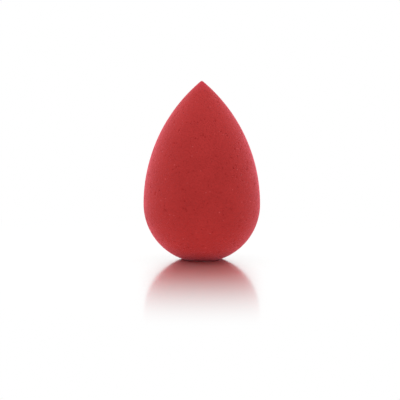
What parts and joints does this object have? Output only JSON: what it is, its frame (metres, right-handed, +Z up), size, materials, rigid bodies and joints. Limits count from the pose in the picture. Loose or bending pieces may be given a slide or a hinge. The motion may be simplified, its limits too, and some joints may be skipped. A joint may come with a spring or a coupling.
{
  "type": "makeup sponge",
  "caption": "Teardrop foam sponge with a rounded point and a small flat foot, held in the fingers to dab and blend liquid or cream make-up.",
  "frame": {"origin": "centre of the flat foot that the sponge stands on", "axes": "+Z up along the sponge's axis of symmetry, from the foot to the point; X and Y are alike"},
  "size_m": [0.04, 0.04, 0.061],
  "materials": {
    "skin_foam": "matte, fine-pored foam skin",
    "core_foam": "matte, open-celled foam"
  },
  "bodies": {
    "root": {"outer_skin": "skin_foam", "foam_core": "core_foam"}
  },
  "joints": []
}
